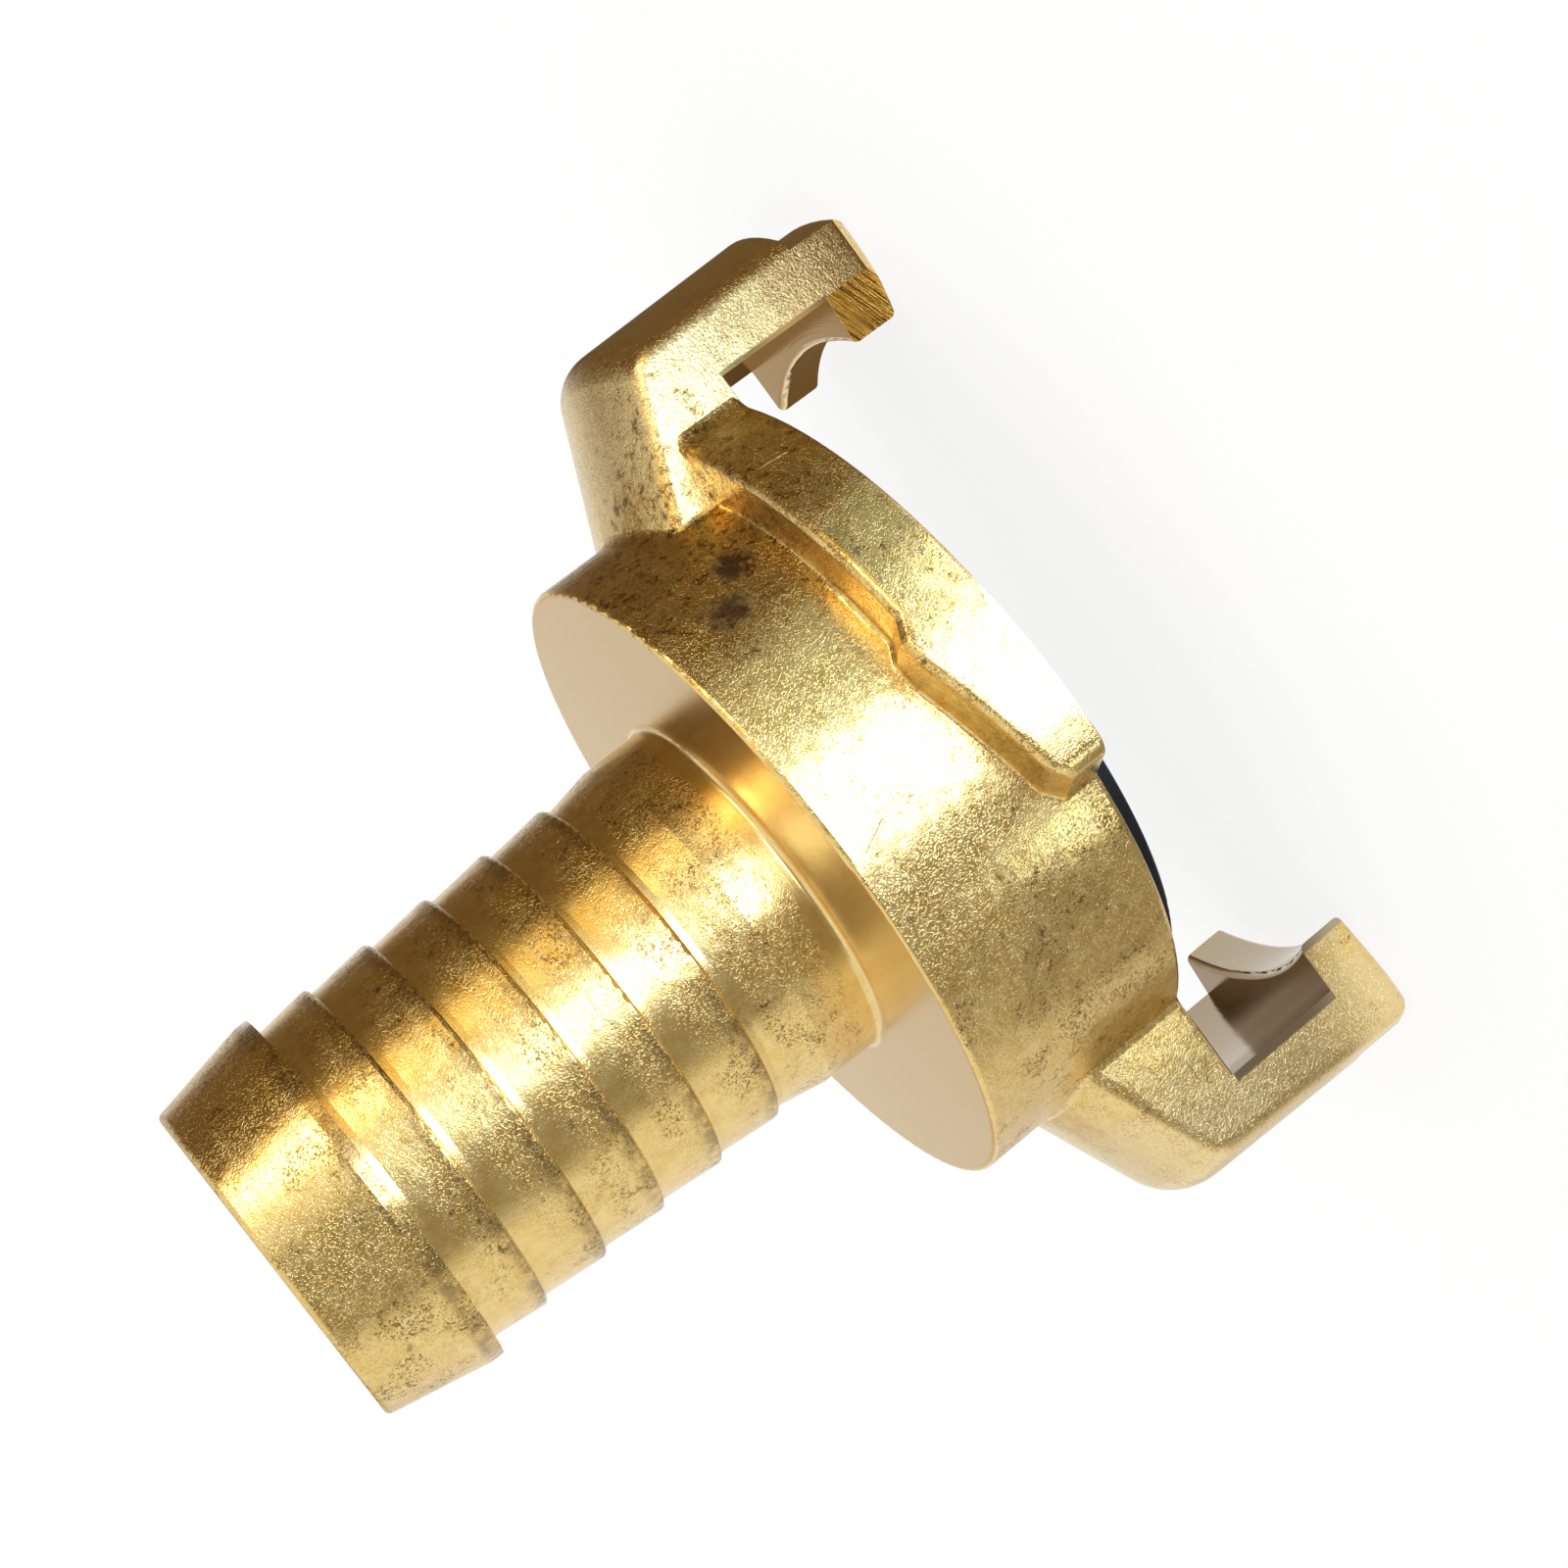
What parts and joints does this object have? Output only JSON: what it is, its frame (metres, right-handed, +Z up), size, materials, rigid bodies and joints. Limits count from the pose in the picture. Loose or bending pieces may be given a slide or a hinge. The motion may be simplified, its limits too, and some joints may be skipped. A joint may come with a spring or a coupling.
{
  "type": "claw coupling with hose tail",
  "caption": "Brass claw coupling half for garden and site hoses: two hooked claws, two locking ridges and a rubber sealing ring on one end, a barbed hose tail on the other.",
  "frame": {"origin": "on the floor under the two claw tips, on the axis that the head, tail and bore are turned about, midway between the claws", "axes": "+Z up along the hose tail, away from the mating coupling; the two claws lie on +X and -X"},
  "size_m": [0.053, 0.0422, 0.0519],
  "materials": {
    "brass": "hot forged and tumbled, machined on the head's back, the noses, the tail and the bore",
    "seal_rubber": "moulded, matt"
  },
  "bodies": {
    "root": {"coupling_body": "brass", "seal_ring": "seal_rubber"}
  },
  "joints": []
}
